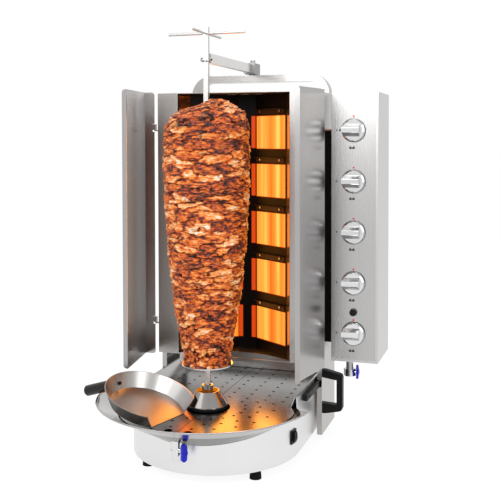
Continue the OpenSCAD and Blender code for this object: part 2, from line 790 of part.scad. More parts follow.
// Bridge handle on the right side plate
grip_out = 56;
grip_low = 76;
grip_high = 196;
module tower_handle() {
  color("#0f0f0f") translate([side_x + 0.05, step_y + 24, 0]) rotate([90, 0, 0]) linear_extrude(20) difference() {
    polygon([[0, grip_low], [8, grip_low], [grip_out - 10, grip_low + 8], [grip_out - 3, grip_low + 11], [grip_out, grip_low + 18],
      [grip_out, grip_high - 18], [grip_out - 3, grip_high - 11], [grip_out - 10, grip_high - 8], [8, grip_high], [0, grip_high]]);
    polygon([[-1, grip_low + 28], [grip_out - 16, grip_low + 26], [grip_out - 16, grip_high - 26], [-1, grip_high - 20]]);
  }
}

// Gas train in the control box
pipe_x = box_x + 34;
pipe_y = box_y + 85;
tap_y = box_y + 40;
module gas_manifold() {
  color("#b98a4a") {
    difference() {
      translate([pipe_x, pipe_y, box_z + 6]) cylinder(h = knob_z(5) - box_z + 20, r = 10);
      translate([pipe_x, pipe_y, box_z - 5]) cylinder(h = knob_z(5) - box_z + 20, r = 7);
    }
    for (i = [1:rows]) translate([pipe_x + 8, pipe_y, knob_z(i)])
      rotate([0, 90, 0]) cylinder(h = knob_x - tap_half - pipe_x - 8 - gap, r = 5);
  }
}

function knob_z(i) = knob_z0 + (i - 1) * row_step;

tap_half = 14;
tap_y1 = tap_y + 68;
module gas_taps() {
  color("#c9a25c") for (i = [1:rows]) translate([knob_x, 0, knob_z(i)]) difference() {
    union() {
      translate([-tap_half, tap_y + 22, -tap_half]) cube([2 * tap_half, tap_y1 - tap_y - 22, 2 * tap_half]);
      translate([0, box_y + 8, 0]) rotate([-90, 0, 0]) cylinder(h = tap_y + 23 - box_y - 8, r = 11);
    }
    translate([0, box_y, 0]) rotate([-90, 0, 0]) cylinder(h = 60, r = stem_r + run_gap);
  }
}

// One feed pipe per row, from its tap to the jets of both burners
module feed_pipes() {
  color("#b98a4a") for (i = [0:rows - 1]) {
    z = knob_z(i + 1);
    translate([knob_x, tap_y1 + gap, z]) rotate([-90, 0, 0]) cylinder(h = feed_y - tap_y1 - gap, r = feed_r - 0.7);
    translate([-jet_x, feed_y, z]) rotate([0, 90, 0]) cylinder(h = jet_x + knob_x + feed_r, r = feed_r);
    for (s = [-1, 1]) at_burner(s, i) translate([jet_s, body_d + 26, z - first_row - i * row_step])
      rotate([-90, 0, 0]) cylinder(h = jet_len, r = 4);
  }
}

module control_box() {
  color("#c2c4c6") difference() {
    translate([box_x, box_y, box_z]) cube([box_w, box_d, box_h]);
    translate([box_x + sheet, box_y + sheet, box_z + sheet])
      cube([box_w - 2 * sheet, box_d - 2 * sheet, box_h - 2 * sheet]);
    translate([box_x + 14, box_y - 5, box_z + 14]) cube([box_w - 28, 10, box_h - 28]);
    translate([pipe_x, pipe_y, box_z - 5]) cylinder(h = 12, r = 10.6);
    for (i = [0:6]) translate([box_x + 20, box_y + box_d - 5, box_z + 60 + i * 14]) cube([box_w - 40, 10, 4]);
    for (i = [0:6]) translate([box_x + 20, box_y + box_d - 5, box_z + box_h - 150 + i * 14]) cube([box_w - 40, 10, 4]);
    for (i = [0:rows - 1]) translate([box_x - 5, feed_y, knob_z(i + 1)]) rotate([0, 90, 0]) cylinder(h = 10, r = feed_r + 1);
  }
}

module control_panel() {
  color("#d0d2d4") difference() {
    translate([box_x + panel_inset, box_y - panel_t, box_z + panel_inset])
      cube([box_w - 2 * panel_inset, panel_t - 0.05, box_h - 2 * panel_inset]);
    for (i = [1:rows]) translate([knob_x, box_y - 5, knob_z(i)]) rotate([-90, 0, 0]) cylinder(h = 10, r = stem_r + 3);
    translate([knob_x, box_y - 5, button_z]) rotate([-90, 0, 0]) cylinder(h = 10, r = button_d / 2 - 1.5);
  }
}

spacer_z = box_z + 46;
spacer_h = box_h - 149;
module box_spacer() {
  color("#0e0e0e") difference() {
    translate([side_x + 0.05, box_y + 19, spacer_z]) cube([box_gap - 0.1, box_d - 40, spacer_h]);
    translate([side_x - 1, box_y + 22, spacer_z + 4]) cube([box_gap + 2, box_d - 46, spacer_h - 8]);
    translate([side_x - 1, feed_y, knob_z(rows)]) rotate([0, 90, 0]) cylinder(h = box_gap + 2, r = feed_r + 1);
  }
}

module inlet_pipe() {
  color("#8f9297") difference() {
    translate([pipe_x, pipe_y, inlet_z + 20]) cylinder(h = box_z + 5.5 - inlet_z - 20, r = 10);
    translate([pipe_x, pipe_y, inlet_z - 5]) cylinder(h = 90, r = 7);
  }
}

inlet_z = 169;
inlet_r = 9.3;
module inlet_valve() {
  color("#d8dadc") difference() {
    union() {
      translate([pipe_x, pipe_y, inlet_z]) cylinder(h = 19.9, r = 17, $fn = 6);
      translate([pipe_x, pipe_y, inlet_z + 11]) rotate([0, 90, 0]) cylinder(h = 19, r = 4);
    }
    translate([pipe_x, pipe_y, inlet_z - 1]) cylinder(h = 13, r = inlet_r);
    translate([pipe_x, pipe_y, inlet_z - 1]) cylinder(h = 30, r = 6.5);
  }
}

module inlet_lever() {
  color("#1b3fc4") translate([pipe_x + 19 + gap, pipe_y, inlet_z + 11]) butterfly(19, 14, 7);
}

// Bent tube that carries the spit arm
module tube_profile(d) {
  translate([-arch_w / 2 + d, -arch_d / 2 + d]) square([arch_w - 2 * d, arch_d - 2 * d]);
}

module tube_bend(d) {
  r = arch_bend - arch_w / 2;
  intersection() {
    rotate_extrude() translate([r, 0]) tube_profile(d);
    translate([0, 0, -big / 2]) cube([big, big, big]);
  }
}

module arch_solid(d) {
  r = arch_bend - arch_w / 2;
  mid = arch_y + arch_d / 2;
  for (x = [arch_left + arch_w / 2, arch_right - arch_w / 2])
    translate([x, mid, arch_foot_z - (d > 0 ? 1 : 0)]) linear_extrude(arch_z - arch_bend - arch_foot_z + (d > 0 ? 1 : 0)) tube_profile(d);
  translate([arch_right - arch_bend, mid, arch_z - arch_bend]) rotate([90, 0, 0]) tube_bend(d);
  translate([arch_left + arch_bend, mid, arch_z - arch_bend]) mirror([1, 0, 0]) rotate([90, 0, 0]) tube_bend(d);
  translate([arch_left + arch_bend, mid, arch_z - arch_w / 2]) rotate([0, 90, 0])
    linear_extrude(arch_right - arch_left - 2 * arch_bend) tube_profile(d);
}

module arch_frame() {
  color("#cdd0d2") difference() {
    arch_solid(0);
    arch_solid(2);
  }
}

module arm_clamp() {
  half = arm_w / 2 + clamp_t;
  color("#a9acb0") {
    difference() {
      union() {
        translate([-half, clamp_y0, arch_z + 3]) cube([2 * half, arm_back - clamp_y0, arm_h + 8]);
        translate([-half - 2, clamp_y0 - 6, arm_z - 1.5]) cube([2 * half + 4, 6.1, arm_h + 6]);
        translate([0, clamp_y0 + 30, arm_z + arm_h]) cylinder(h = 14, r = 7);
      }
      translate([-arm_w / 2 - 0.1, clamp_y0 - 20, arm_z - 0.1]) cube([arm_w + 0.2, 200, arm_h + 0.2]);
      translate([0, clamp_y0 + 30, arm_z + arm_h + 4]) cylinder(h = 14, r = 4);
    }
    translate([-7, clamp_y0 + 16, arch_z]) cube([14, 22, 3.1]);
  }
}

module spit_arm() {
  color("#c9cbce") difference() {
    translate([-arm_w / 2, arm_front, arm_z]) cube([arm_w, arm_back - arm_front, arm_h]);
    translate([-arm_w / 2 + tube_t, arm_front - 1, arm_z + tube_t]) cube([arm_w - 2 * tube_t, arm_back + 40, arm_h - 2 * tube_t]);
    translate([0, 0, arm_z + tube_t]) cylinder(h = bush_h + 0.2, r = bush_r + 0.05);
    translate([0, pin_y, pin_z]) rotate([0, 90, 0]) cylinder(h = 60, r = lock_r + run_gap, center = true);
  }
}

// Ring round the spit bar, held in the arm by its tail and the lock pin
module spit_bearing() {
  tail_w = arm_w - 2 * tube_t - 0.2;
  color("#8d9196") difference() {
    union() {
      translate([0, 0, arm_z + tube_t + 0.1]) cylinder(h = bush_h, r = bush_r);
      translate([-tail_w / 2, 6, arm_z + tube_t + 0.1]) cube([tail_w, tail_y - 6, bush_h]);
      translate([-tail_w / 2, 6, arm_z + tube_t + 0.1]) cube([tail_w, pin_y + 2, 13]);
    }
    translate([0, 0, arm_z - 5]) cylinder(h = arm_h + 10, r = bush_bore);
    translate([0, pin_y, pin_z]) rotate([0, 90, 0]) cylinder(h = 60, r = lock_r + run_gap, center = true);
  }
}

module lock_pin() {
  color("#2a2a2a") translate([0, pin_y, pin_z]) {
    translate([-arm_w / 2 - 1, 0, 0]) rotate([0, 90, 0]) cylinder(h = arm_w + 3, r = lock_r);
    translate([-arm_w / 2 - gap, 0, 0]) rotate([0, -90, 0]) cylinder(h = 5, r = 4);
    translate([-arm_w / 2 - 4 - ring_o, 0, 0]) rotate([90, 0, 0]) rotate_extrude() translate([ring_o, 0]) circle(1.1, $fn = 24);
  }
}

module igniter_button() {
  color("#0c0c0c") translate([knob_x, 0, button_z]) rotate([-90, 0, 0]) {
    translate([0, 0, box_y - panel_t - 9]) cylinder(h = 5, r1 = button_d / 2 - 3, r2 = button_d / 2 - 2);
    translate([0, 0, box_y - panel_t - 4.1]) cylinder(h = 24, r = button_d / 2 - 2);
  }
}

// Takes a square corner off a wing's strip and leaves it round
corner_round = 9;
module corner_cut(x, y, way, top) {
  z = top == 1 ? wing_z1 - corner_round : wing_z0 + corner_round;
  difference() {
    translate([way > 0 ? x - corner_round : x - 1, y - 4, top == 1 ? z : wing_z0 - 1]) cube([corner_round + 1, 8, corner_round + 1]);
    translate([x - way * corner_round, y, z]) rotate([90, 0, 0]) cylinder(h = 20, r = corner_round, center = true);
  }
}

// Wings: folded sheet leaves hung on pins beside the opening
module wing(side) {
  mirror([side < 0 ? 1 : 0, 0, 0]) {
    dx = wing_d * sin(wing_a);
    dy = wing_d * cos(wing_a);
    difference() {
      translate([0, 0, wing_z0]) linear_extrude(wing_z1 - wing_z0) union() {
        polygon([[wing_back_x, hinge_y], [wing_back_x - dx, hinge_y - dy], [wing_back_x - dx + sheet, hinge_y - dy],
          [wing_back_x + sheet, hinge_y]]);
        translate([wing_back_x - dx, hinge_y - dy - sheet]) square([fold_w, sheet + 0.2]);
        translate([hinge_x + 3, hinge_y - eps]) square([wing_back_x + sheet - hinge_x - 3, sheet]);
      }
      for (top = [0, 1]) {
        corner_cut(wing_back_x - dx + fold_w, hinge_y - dy, 1, top);
        corner_cut(hinge_x + 3, hinge_y + 1, -1, top);
      }
      for (z = [wing_z0 + hook_z, wing_z1 - hook_z]) translate([hinge_x - 5, hinge_y - 10, z - 13]) cube([14, 20, 22]);
    }
    for (z = [wing_z0 + hook_z, wing_z1 - hook_z]) translate([hinge_x, hinge_y + sheet / 2, z - 8]) {
      difference() {
        union() {
          cylinder(h = 16, r = knuckle_r);
          translate([0, -sheet / 2, 0]) cube([14, sheet, 16]);
        }
        translate([0, 0, -1]) cylinder(h = 18, r = hinge_r + run_gap);
      }
    }
  }
}

module wing_left() color("#cdcfd1") wing(-1);
module wing_right() color("#cdcfd1") translate([hinge_x, hinge_y + sheet / 2, 0]) rotate([0, 0, -wing_turn])
  translate([-hinge_x, -hinge_y - sheet / 2, 0]) wing(1);

// Gas spindles and knobs
module spindle(i) {
  color("#9c8a5a") translate([knob_x, 0, knob_z(i)]) rotate([-90, 0, 0])
    translate([0, 0, box_y - panel_t - 12]) cylinder(h = 60, r = stem_r);
}

module knob(i) {
  bottom = box_y - panel_t - knob_gap;
  color("#c7c9cc") translate([knob_x, 0, knob_z(i)]) rotate([-90, 0, 0]) difference() {
    union() {
      translate([0, 0, bottom - knob_t]) rotate_extrude() polygon([[0, 0], [knob_d / 2 - 5, 0], [knob_d / 2 - 1.5, 2],
        [knob_d / 2, 4], [knob_d / 2, knob_t], [0, knob_t]]);
      intersection() {
        translate([-knob_d / 2, 0, bottom - knob_t + 0.5]) rotate([0, 90, 0]) linear_extrude(knob_d / 2 + 18)
          polygon([[0, -grip_base], [grip_t - 1, -grip_land], [grip_t, -grip_land + 1], [grip_t, grip_land - 1],
            [grip_t - 1, grip_land], [0, grip_base]]);
        translate([0, 0, bottom - knob_t - grip_t - 1]) cylinder(h = grip_t + 3, r = knob_d / 2 - 3);
      }
    }
    translate([0, 0, bottom - knob_push - 12]) cylinder(h = 40, r = stem_r + run_gap);
  }
}

module spindle_1() spindle(1);
module spindle_2() spindle(2);
module spindle_3() spindle(3);
module spindle_4() spindle(4);
module spindle_5() spindle(5);
module knob_1() knob(1);
module knob_2() knob(2);
module knob_3() knob(3);
module knob_4() knob(4);
module knob_5() knob(5);

base_shell();
base_floor();
feet();
drip_tray();
plate_left();
plate_right();
slide_rails();
drain_valve();
drain_lever();
switch_bezel();
rocker_switch();
gear_motor();
motor_bracket();
shaft_bearing();
drive_socket();
drip_cone();
seal_ring();
spit_bar();
cross_rods();
spit_disc();
meat_stack();
scoop_pan();
scoop_handle();
tower_casing();
back_cover();
burner_liner();
side_plate_left();
side_plate_right();
tower_runners();
tower_handle();
burners();
plaques();
burner_hoods();
gas_manifold();
gas_taps();
feed_pipes();
control_box();
control_panel();
box_spacer();
inlet_pipe();
inlet_valve();
inlet_lever();
arch_frame();
arm_clamp();
spit_arm();
spit_bearing();
lock_pin();
igniter_button();
wing_left();
wing_right();
spindle_1();
spindle_2();
spindle_3();
spindle_4();
spindle_5();
knob_1();
knob_2();
knob_3();
knob_4();
knob_5();
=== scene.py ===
import bpy
import json
import math
import numpy as np
from mathutils import Matrix, Vector

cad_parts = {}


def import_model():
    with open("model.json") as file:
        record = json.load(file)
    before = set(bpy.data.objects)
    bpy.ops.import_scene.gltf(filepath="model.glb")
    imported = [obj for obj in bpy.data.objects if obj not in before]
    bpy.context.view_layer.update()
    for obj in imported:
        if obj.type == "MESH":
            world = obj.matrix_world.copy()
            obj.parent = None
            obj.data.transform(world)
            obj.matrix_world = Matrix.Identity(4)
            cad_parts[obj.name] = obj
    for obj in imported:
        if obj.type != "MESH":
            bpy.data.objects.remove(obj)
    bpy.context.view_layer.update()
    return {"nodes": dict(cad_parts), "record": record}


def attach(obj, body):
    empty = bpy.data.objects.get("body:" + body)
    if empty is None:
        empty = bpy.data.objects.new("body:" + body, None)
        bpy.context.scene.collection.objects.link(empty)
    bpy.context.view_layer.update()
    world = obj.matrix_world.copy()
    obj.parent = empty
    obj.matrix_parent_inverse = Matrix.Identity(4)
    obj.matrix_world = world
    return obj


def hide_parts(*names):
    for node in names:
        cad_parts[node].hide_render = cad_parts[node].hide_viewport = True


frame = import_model()
nodes = frame["nodes"]
MM = 0.001


def box_of(name):
    """Lowest and highest corner of a CAD node in millimetres."""
    mesh = nodes[name].data
    at = np.empty(len(mesh.vertices) * 3)
    mesh.vertices.foreach_get("co", at)
    place = nodes[name].matrix_world
    at = at.reshape(-1, 3) @ np.array(place.to_3x3()).T + np.array(place.translation)
    return at.min(axis=0) / MM, at.max(axis=0) / MM


# Camera, solved from the corners of the control box, the tray and the arch in the photo; angles in degrees
PHOTO_PX = 500
FOCAL_PX = 859.3
SENSOR_MM = 36.0
CAMERA_AT = (0.7818, -2.0369, 0.8330)
AZIMUTH = 18.118
PITCH_DOWN = 1.77
ROLL = -0.091
SHIFT_Y = -0.1688
CLIP_END = 50


def make_camera():
    data = bpy.data.cameras.new("photo_camera")
    data.sensor_width = SENSOR_MM
    data.lens = SENSOR_MM * FOCAL_PX / PHOTO_PX
    data.shift_y = SHIFT_Y
    data.clip_end = CLIP_END
    cam = bpy.data.objects.new("photo_camera", data)
    turn = Matrix.Rotation(math.radians(AZIMUTH), 3, "Z")
    turn = turn @ Matrix.Rotation(math.radians(90 - PITCH_DOWN), 3, "X")
    cam.location = CAMERA_AT
    cam.rotation_euler = (turn @ Matrix.Rotation(math.radians(ROLL), 3, "Z")).to_euler()
    bpy.context.collection.objects.link(cam)
    bpy.context.scene.camera = cam


make_camera()


def linear(hex_colour):
    """sRGB hex to the linear values that the shaders take."""
    out = []
    for i in (0, 2, 4):
        c = int(hex_colour[i:i + 2], 16) / 255
        out.append(c / 12.92 if c <= 0.04045 else ((c + 0.055) / 1.055) ** 2.4)
    return (*out, 1.0)


def put(tree, kind, values=None, links=None, stops=None, **settings):
    """Adds one node: values go to its sockets, links join them to other outputs, stops are a ramp's
    colours."""
    n = tree.nodes.new(kind)
    for key, value in settings.items():
        setattr(n, key, value)
    for key, value in (values or {}).items():
        n.inputs[key].default_value = value
    for key, source in (links or {}).items():
        tree.links.new(source, n.inputs[key])
    for i, (at, colour) in enumerate(stops or []):
        e = n.color_ramp.elements[i] if i < 2 else n.color_ramp.elements.new(at)
        e.position = at
        e.color = linear(colour)
    return n


def new_material(name):
    m = bpy.data.materials.new(name)
    m.use_nodes = True
    t = m.node_tree
    t.nodes.clear()
    shader = put(t, "ShaderNodeBsdfPrincipled")
    put(t, "ShaderNodeOutputMaterial", links={"Surface": shader.outputs[0]})
    return m, t, shader


def stretched(tree, per_metre):
    """Object coordinates multiplied per axis, so that a pattern can run along one of them."""
    co = put(tree, "ShaderNodeTexCoord").outputs["Object"]
    return put(tree, "ShaderNodeMapping", {"Scale": per_metre}, {"Vector": co}).outputs[0]


# Scratches drawn 1.2 mm apart and 60 times as long; the real ones are finer than the picture shows
SCRATCH_MM = 1.2
SCRATCH_RUN = 60
SCRATCH_DEPTH = 0.00002
# Handling marks about 110 mm across
CLOUDS_PER_M = (9, 9, 9)
CLOUD_SHARE = 0.06
# brown-black painted shade for the recess under the tray's plates and the walls of their holes
PAINTED_SHADE_COLOUR = "120C09"


def steel(name, colour, rough, along="z", spread=0.10, painted_shade_below=None):
    """Sheet or turned metal: fine parallel scratches along one axis and faint cloudy handling marks. If the
    last argument holds two heights in metres, painted shade lies below the first and fades out at the second."""
    m, t, s = new_material(name)
    fine = 1000 / SCRATCH_MM
    long = fine / SCRATCH_RUN
    scale = {"x": (long, fine, fine), "y": (fine, long, fine), "z": (fine, fine, long),
             "": (fine, fine, fine)}[along]
    grain = put(t, "ShaderNodeTexNoise", {"Scale": 1.0, "Detail": 3.0}, {"Vector": stretched(t, scale)})
    cloud = put(t, "ShaderNodeTexNoise", {"Scale": 1.0, "Detail": 2.0},
                {"Vector": stretched(t, CLOUDS_PER_M)})
    shade = put(t, "ShaderNodeMath", {1: CLOUD_SHARE, 2: 1 - CLOUD_SHARE / 2}, {0: cloud.outputs["Fac"]},
                operation="MULTIPLY_ADD")
    tint = put(t, "ShaderNodeMix", {6: linear(colour), 0: 1.0}, {7: shade.outputs[0]},
               data_type="RGBA", blend_type="MULTIPLY")
    r = put(t, "ShaderNodeMapRange", {"To Min": rough - spread / 2, "To Max": rough + spread / 2},
            {"Value": grain.outputs["Fac"]})
    bump = put(t, "ShaderNodeBump", {"Strength": 0.35, "Distance": SCRATCH_DEPTH},
               {"Height": grain.outputs["Fac"]})
    coat = tint.outputs[2]
    # painted shade: darker below the first height, fading out at the second
    if painted_shade_below:
        co = put(t, "ShaderNodeTexCoord").outputs["Object"]
        height = put(t, "ShaderNodeSeparateXYZ", links={0: co}).outputs["Z"]
        fade = {"From Min": painted_shade_below[0], "From Max": painted_shade_below[1], "To Min": 1.0, "To Max": 0.0}
        share = put(t, "ShaderNodeMapRange", fade, {"Value": height})
        darkened = put(t, "ShaderNodeMix", {7: linear(PAINTED_SHADE_COLOUR)}, {0: share.outputs[0], 6: coat}, data_type="RGBA")
        coat = darkened.outputs[2]
    t.links.new(coat, s.inputs["Base Color"])
    t.links.new(r.outputs[0], s.inputs["Roughness"])
    t.links.new(bump.outputs[0], s.inputs["Normal"])
    s.inputs["Metallic"].default_value = 1.0
    return m


# Uneven colour in spots about 29 mm across
BLOTS_PER_M = (35, 35, 35)
ROUGH_SPREAD = 0.12


def plain(name, colour, rough, metallic=0.0, grain_mm=0.8, bump_mm=0.02, vary=0.12, gloss=0.5, glow=None):
    """Moulded, painted or scorched surface: fine texture, slightly uneven colour and, if a glow colour is
    given, a dull painted glow of light.
    """
    m, t, s = new_material(name)
    k = 1000 / grain_mm
    grain = put(t, "ShaderNodeTexNoise", {"Scale": 1.0, "Detail": 4.0}, {"Vector": stretched(t, (k, k, k))})
    blot = put(t, "ShaderNodeTexNoise", {"Scale": 1.0, "Detail": 3.0}, {"Vector": stretched(t, BLOTS_PER_M)})
    shade = put(t, "ShaderNodeMath", {1: vary, 2: 1 - vary / 2}, {0: blot.outputs["Fac"]},
                operation="MULTIPLY_ADD")
    tint = put(t, "ShaderNodeMix", {6: linear(colour), 0: 1.0}, {7: shade.outputs[0]},
               data_type="RGBA", blend_type="MULTIPLY")
    r = put(t, "ShaderNodeMapRange", {"To Min": rough - ROUGH_SPREAD / 2, "To Max": rough + ROUGH_SPREAD / 2},
            {"Value": grain.outputs["Fac"]})
    bump = put(t, "ShaderNodeBump", {"Strength": 0.5, "Distance": bump_mm * MM},
               {"Height": grain.outputs["Fac"]})
    t.links.new(tint.outputs[2], s.inputs["Base Color"])
    t.links.new(r.outputs[0], s.inputs["Roughness"])
    t.links.new(bump.outputs[0], s.inputs["Normal"])
    s.inputs["Metallic"].default_value = metallic
    s.inputs["Specular IOR Level"].default_value = gloss
    if glow:
        s.inputs["Emission Color"].default_value = linear(glow)
        s.inputs["Emission Strength"].default_value = 1.0
    return m


# Bands about 25 mm apart that run the plaque's full height
BANDS_PER_M = (40, 40, 0.8)
# Ports drawn 3 mm apart; the real ones are finer than the picture shows
PORTS_PER_M = (330, 330, 330)


def glowing_plaque():
    """Ceramic plaque at orange heat: upright bands of paler glow and close rows of darker flame ports."""
    m, t, s = new_material("ceramic_plaque_red_hot")
    bands = put(t, "ShaderNodeTexNoise", {"Scale": 1.0, "Detail": 2.0}, {"Vector": stretched(t, BANDS_PER_M)})
    ports = put(t, "ShaderNodeTexVoronoi", {"Scale": 1.0, "Randomness": 0.15},
                {"Vector": stretched(t, PORTS_PER_M)})
    glow = put(t, "ShaderNodeValToRGB", links={"Fac": bands.outputs["Fac"]},
               stops=[(0.34, "FA6A18"), (0.46, "F78A26"), (0.56, "F6A03A"), (0.68, "FBC658")])
    dots = put(t, "ShaderNodeMapRange", {"From Max": 0.5, "To Min": 0.72, "To Max": 1.08},
               {"Value": ports.outputs["Distance"]})
    both = put(t, "ShaderNodeMix", {0: 1.0}, {6: glow.outputs[0], 7: dots.outputs[0]},
               data_type="RGBA", blend_type="MULTIPLY")
    t.links.new(both.outputs[2], s.inputs["Emission Color"])
    s.inputs["Base Color"].default_value = linear("5A2A16")
    s.inputs["Roughness"].default_value = 0.85
    s.inputs["Emission Strength"].default_value = 1.15
    return m


# Fibres about 18 mm long and 4 mm thick, with finer ones inside them
FIBRES_PER_M = (55, 55, 260)
# Wet and dry spots about 17 mm wide and 8 mm high
WET_PER_M = (60, 60, 130)


def roast_material():
    """Roasted slices: pale cores in orange flesh, clefts painted nearly black as shade, pinkish fat that is
    partly a painted highlight, fibrous and wet with fat.
    """
    m, t, s = new_material("roast_meat_sliced")
    tone = put(t, "ShaderNodeAttribute", attribute_name="tone").outputs["Fac"]
    char_and_shade = put(t, "ShaderNodeAttribute", attribute_name="char_and_shade").outputs["Fac"]
    fibre = put(t, "ShaderNodeTexNoise", {"Scale": 1.0, "Detail": 5.0, "Roughness": 0.7, "Distortion": 0.6},
                {"Vector": stretched(t, FIBRES_PER_M)})
    wet = put(t, "ShaderNodeTexNoise", {"Scale": 1.0, "Detail": 3.0}, {"Vector": stretched(t, WET_PER_M)})
    mixed = put(t, "ShaderNodeMath", {1: 1.5, 2: -0.75}, {0: fibre.outputs["Fac"]}, operation="MULTIPLY_ADD")
    level = put(t, "ShaderNodeMath", links={0: mixed.outputs[0], 1: tone}, operation="ADD")
    # the palest stop, pinkish white, is fat and partly a painted highlight
    flesh = put(t, "ShaderNodeValToRGB", links={"Fac": level.outputs[0]},
                stops=[(0.0, "2A0802"), (0.16, "6E2004"), (0.32, "B44806"), (0.50, "D96E12"),
                       (0.66, "E0924A"), (0.82, "E8B88A"), (1.0, "F6DCD0")])
    # char colour, which also serves as painted shade in clefts and holes
    dark = put(t, "ShaderNodeMix", {7: linear("100301")}, {0: char_and_shade, 6: flesh.outputs[0]}, data_type="RGBA")
    bump = put(t, "ShaderNodeBump", {"Strength": 1.0, "Distance": 0.0018}, {"Height": fibre.outputs["Fac"]})
    rough = put(t, "ShaderNodeMapRange", {"From Min": 0.35, "From Max": 0.65, "To Min": 0.22, "To Max": 0.6},
                {"Value": wet.outputs["Fac"]})
    t.links.new(dark.outputs[2], s.inputs["Base Color"])
    t.links.new(bump.outputs[0], s.inputs["Normal"])
    t.links.new(rough.outputs[0], s.inputs["Roughness"])
    s.inputs["Specular IOR Level"].default_value = 0.4
    return m


MATERIALS = {
    # nearly white satin, so that the drum stays calm under the bright tray
    "drum_steel": steel("stainless_drum_brushed", "E0E0E0", 0.34, along=""),
    # dull spangled sheet under the drum
    "galvanised_sheet": steel("galvanised_floor_sheet", "B4B6B6", 0.45, along=""),
    # matt black rubber
    "rubber_foot": plain("rubber_foot_moulded", "0A0A0A", 0.8, gloss=0.15),
    # clear reflections of the cone and the meat; the tray's floor under the plates is painted dark as shade
    "tray_steel": steel("stainless_tray_polished", "B4B2B0", 0.16, along="", spread=0.05,
                        painted_shade_below=(0.1452, 0.1470)),
    # long blurred orange reflections of the meat, and painted shade on the walls of the holes
    "plate_steel": steel("stainless_plate_satin", "8C8A88", 0.23, along="y", spread=0.06,
                         painted_shade_below=(0.1474, 0.1479)),
    # half-gloss black paint
    "rail_black": plain("painted_rail_black", "070707", 0.45, gloss=0.2),
    # bright plating on turned brass
    "nickel_valve": steel("nickel_plated_brass", "DADAD8", 0.15, along="", spread=0.04),
    # strong blue enamel with a soft gloss
    "blue_lever": plain("enamelled_lever_blue", "0610B4", 0.3, gloss=0.3),
    # fine-grained black moulding
    "switch_plastic": plain("abs_switch_black", "070707", 0.42, gloss=0.2),
    # pebbled grey paint
    "motor_paint": plain("hammered_paint_grey", "4F5357", 0.45, grain_mm=3, bump_mm=0.15),
    # turned grey housing
    "bearing_metal": steel("turned_bearing_housing", "8E9092", 0.4, along=""),
    # grey mirror with upright streaks
    "cone_steel": steel("stainless_cone_polished", "8E8B89", 0.15, along="z", spread=0.04),
    # dull black lip seal
    "seal_rubber": plain("rubber_seal_black", "040404", 0.6, gloss=0.15),
    # drawn square bar with lengthwise grain
    "spit_steel": steel("stainless_spit_drawn", "C6C5C3", 0.25, along="z"),
    # softly shining spun sheet
    "pan_steel": steel("stainless_pan_spun", "A6A4A2", 0.3, along="", spread=0.07),
    # glossy black phenolic grip
    "handle_plastic": plain("bakelite_handle_black", "060606", 0.28, gloss=0.3),
    # brushed sheet with upright grain
    "casing_steel": steel("stainless_casing_brushed", "A8A5A2", 0.24, along="z"),
    # scorched black sheet, uneven and nearly matt
    "liner_black": plain("scorched_liner_black", "030201", 0.42, vary=0.5, gloss=0.07),
    # matt black nylon
    "bridge_handle_plastic": plain("nylon_handle_black", "060606", 0.42, gloss=0.15),
    # burner boxes, dull red, with a painted red glow
    "burner_body": plain("burner_box_painted_glow", "4A1406", 0.5, metallic=0.5, vary=0.5, glow="8E2406"),
    # banded orange glow with close darker ports
    "ceramic_plaque": glowing_plaque(),
    # dark oxide on the shields over the plaques
    "hood_steel": plain("heat_tinted_hood", "1A0503", 0.45, vary=0.6, gloss=0.15),
    # warm drawn copper
    "gas_pipe_copper": steel("copper_gas_pipe", "B87A58", 0.3, along=""),
    # machined yellow brass
    "tap_brass": steel("machined_tap_brass", "C4A25E", 0.3, along=""),
    # brushed box with upright grain
    "box_steel": steel("stainless_box_brushed", "BEBDBC", 0.30, along="z"),
    # brushed front with clearer reflections of the knobs
    "panel_steel": steel("stainless_panel_brushed", "B2B1B0", 0.27, along="z"),
    # flat black paint
    "spacer_black": plain("painted_spacer_black", "030303", 0.5, gloss=0.1),
    # grey zinc on drawn pipe
    "inlet_pipe_steel": steel("zinc_plated_pipe", "A8A9AA", 0.35, along="z"),
    # smooth bright tube
    "arch_steel": steel("stainless_arch_polished", "A6A4A2", 0.22, along="x", spread=0.05),
    # milled grey block
    "clamp_steel": steel("machined_clamp_steel", "8B8B8B", 0.33, along=""),
    # tube with lengthwise grain
    "arm_steel": steel("stainless_arm_brushed", "D4D3D1", 0.26, along="y"),
    # oiled black pin
    "pin_black": plain("blackened_pin", "1B1B1B", 0.4, metallic=0.7),
    # smooth black button
    "button_plastic": plain("abs_button_black", "050505", 0.3, gloss=0.2),
    # soft mirror, so that the meat shows as long orange streaks in the wings
    "wing_mirror_steel": steel("stainless_wing_polished", "A9A7A6", 0.22, along="z", spread=0.05),
    # machined brass spindle
    "spindle_brass": steel("machined_spindle_brass", "B79A5A", 0.35, along=""),
    # chrome with crisp dark and light edges
    "knob_chrome": steel("chrome_knob_polished", "D2D2D3", 0.12, along="", spread=0.04),
    # torn, glistening layers from pale flesh to black crust
    "roast_meat": roast_material(),
}
SLOT_OF = {p["node"]: p["material_slot"] for p in frame["record"]["subparts"]}


def dress(name):
    """Gives a CAD node the material of its slot."""
    o = nodes[name]
    o.data.materials.clear()
    o.data.materials.append(MATERIALS[SLOT_OF[name]])


for node_name in nodes:
    dress(node_name)


def piece(name, verts, faces, body, slot, material=None, smooth=False):
    """One visible object in metres that rides a body."""
    mesh = bpy.data.meshes.new(name)
    mesh.from_pydata([tuple(v) for v in verts], [], [tuple(f) for f in faces])
    mesh.update()
    mesh.materials.append(material or MATERIALS[slot])
    if smooth:
        mesh.shade_smooth()
    o = bpy.data.objects.new(name, mesh)
    bpy.context.collection.objects.link(o)
    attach(o, body)
    return o


# Meat: slices stacked in courses about 21 mm high, each slice with its own tone and bulge
ROAST_LOW, ROAST_HIGH = box_of("meat_stack")
ROAST_H = ROAST_HIGH[2] - ROAST_LOW[2]
